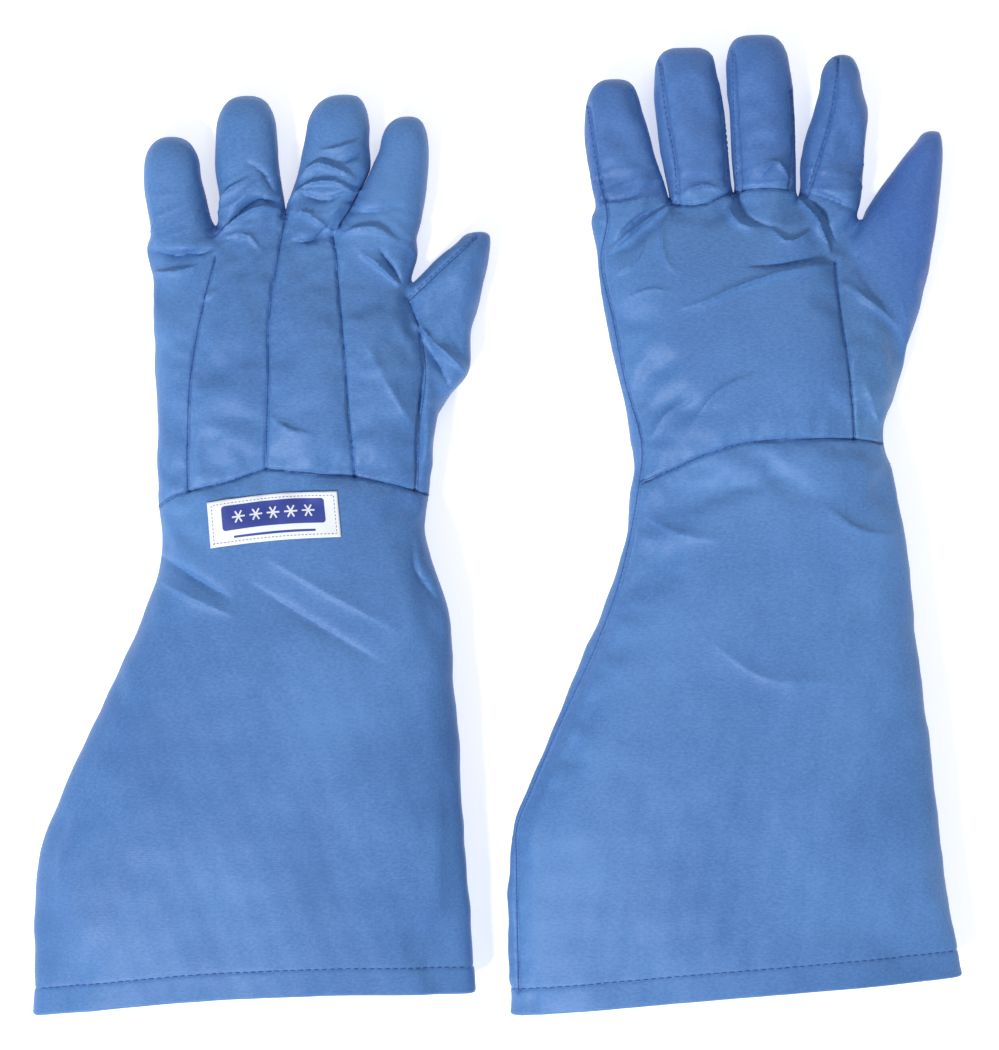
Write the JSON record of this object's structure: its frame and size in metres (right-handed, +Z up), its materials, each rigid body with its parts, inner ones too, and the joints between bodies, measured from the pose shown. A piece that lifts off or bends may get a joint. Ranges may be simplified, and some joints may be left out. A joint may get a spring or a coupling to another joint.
{
  "type": "cryogenic gloves",
  "caption": "Pair of padded elbow-length gloves for handling very cold liquids, laid flat, one back up and one palm up, with flared gauntlet cuffs.",
  "frame": {"origin": "centre of the pair's footprint, on the surface that the gloves lie on", "axes": "+Y towards the fingertips, +X towards the thumbs, +Z up out of the surface"},
  "size_m": [0.4806, 0.5076, 0.0438],
  "materials": {
    "woven_nylon": "matte woven nylon with a slight sheen",
    "insulation": "soft quilted fibre padding",
    "inner_lining": "matte brushed lining",
    "woven_label": "smooth woven label"
  },
  "bodies": {
    "left_cuff": {"left_cuff_shell": "woven_nylon", "left_cuff_insulation": "insulation", "left_cuff_lining": "inner_lining", "left_hem_band": "woven_nylon", "left_label": "woven_label"},
    "left_hand": {"left_back_panel_little": "woven_nylon", "left_back_panel_ring": "woven_nylon", "left_back_panel_middle": "woven_nylon", "left_back_panel_index": "woven_nylon", "left_palm_panel": "woven_nylon", "left_thumb_gusset": "woven_nylon", "left_hand_liner": "insulation", "left_fork_little_ring": "woven_nylon", "left_fork_ring_middle": "woven_nylon", "left_fork_middle_index": "woven_nylon"},
    "left_thumb": {"left_thumb_back_panel": "woven_nylon", "left_thumb_front_panel": "woven_nylon", "left_thumb_liner": "insulation"},
    "left_index": {"left_index_back_panel": "woven_nylon", "left_index_front_panel": "woven_nylon", "left_index_liner": "insulation"},
    "left_middle": {"left_middle_back_panel": "woven_nylon", "left_middle_front_panel": "woven_nylon", "left_middle_liner": "insulation"},
    "left_ring": {"left_ring_back_panel": "woven_nylon", "left_ring_front_panel": "woven_nylon", "left_ring_liner": "insulation"},
    "left_little": {"left_little_back_panel": "woven_nylon", "left_little_front_panel": "woven_nylon", "left_little_liner": "insulation"},
    "right_cuff": {"right_cuff_shell": "woven_nylon", "right_cuff_insulation": "insulation", "right_cuff_lining": "inner_lining", "right_hem_band": "woven_nylon", "right_label": "woven_label"},
    "right_hand": {"right_back_panel_little": "woven_nylon", "right_back_panel_ring": "woven_nylon", "right_back_panel_middle": "woven_nylon", "right_back_panel_index": "woven_nylon", "right_palm_panel": "woven_nylon", "right_thumb_gusset": "woven_nylon", "right_hand_liner": "insulation", "right_fork_little_ring": "woven_nylon", "right_fork_ring_middle": "woven_nylon", "right_fork_middle_index": "woven_nylon"},
    "right_thumb": {"right_thumb_back_panel": "woven_nylon", "right_thumb_front_panel": "woven_nylon", "right_thumb_liner": "insulation"},
    "right_index": {"right_index_back_panel": "woven_nylon", "right_index_front_panel": "woven_nylon", "right_index_liner": "insulation"},
    "right_middle": {"right_middle_back_panel": "woven_nylon", "right_middle_front_panel": "woven_nylon", "right_middle_liner": "insulation"},
    "right_ring": {"right_ring_back_panel": "woven_nylon", "right_ring_front_panel": "woven_nylon", "right_ring_liner": "insulation"},
    "right_little": {"right_little_back_panel": "woven_nylon", "right_little_front_panel": "woven_nylon", "right_little_liner": "insulation"}
  },
  "joints": [
    {"name": "left_wrist_bend", "type": "hinge", "parent": "left_cuff", "child": "left_hand", "pos_m": [-0.10768, 0.02289, 0.0178], "axis": [-0.9994, -0.0349, 0], "range_deg": [-30, 40]},
    {"name": "left_thumb_curl", "type": "hinge", "parent": "left_hand", "child": "left_thumb", "pos_m": [-0.039, 0.09033, 0.0138], "axis": [-0.8829, 0.4695, 0], "range_deg": [-15, 50]},
    {"name": "left_index_curl", "type": "hinge", "parent": "left_hand", "child": "left_index", "pos_m": [-0.05987, 0.14364, 0.0138], "axis": [-0.9744, 0.225, 0], "range_deg": [-15, 75]},
    {"name": "left_middle_curl", "type": "hinge", "parent": "left_hand", "child": "left_middle", "pos_m": [-0.09416, 0.15144, 0.0143], "axis": [-0.9744, 0.225, 0], "range_deg": [-15, 75]},
    {"name": "left_ring_curl", "type": "hinge", "parent": "left_hand", "child": "left_ring", "pos_m": [-0.12907, 0.14822, 0.0143], "axis": [-0.9998, -0.0174, 0], "range_deg": [-15, 75]},
    {"name": "left_little_curl", "type": "hinge", "parent": "left_hand", "child": "left_little", "pos_m": [-0.1648, 0.13997, 0.0138], "axis": [-0.9914, -0.1305, 0], "range_deg": [-6, 75]},
    {"name": "right_glove_lift", "type": "slide", "parent": "left_cuff", "child": "right_cuff", "axis": [0, 0, 1], "range_m": [0, 0.25]},
    {"name": "right_wrist_bend", "type": "hinge", "parent": "right_cuff", "child": "right_hand", "pos_m": [0.13555, 0.04184, 0.0193], "axis": [0.9945, 0.1045, 0], "range_deg": [-30, 40]},
    {"name": "right_thumb_curl", "type": "hinge", "parent": "right_hand", "child": "right_thumb", "pos_m": [0.19937, 0.11391, 0.0153], "axis": [0.9304, -0.3665, 0], "range_deg": [-15, 50]},
    {"name": "right_index_curl", "type": "hinge", "parent": "right_hand", "child": "right_index", "pos_m": [0.17483, 0.16562, 0.0153], "axis": [0.9986, -0.0523, 0], "range_deg": [-15, 75]},
    {"name": "right_middle_curl", "type": "hinge", "parent": "right_hand", "child": "right_middle", "pos_m": [0.14007, 0.17102, 0.0158], "axis": [0.9976, 0.0698, 0], "range_deg": [-15, 75]},
    {"name": "right_ring_curl", "type": "hinge", "parent": "right_hand", "child": "right_ring", "pos_m": [0.10547, 0.16537, 0.0158], "axis": [0.9962, 0.0872, 0], "range_deg": [-15, 75]},
    {"name": "right_little_curl", "type": "hinge", "parent": "right_hand", "child": "right_little", "pos_m": [0.0704, 0.15465, 0.0153], "axis": [0.989, 0.1478, 0], "range_deg": [-6, 75]}
  ]
}
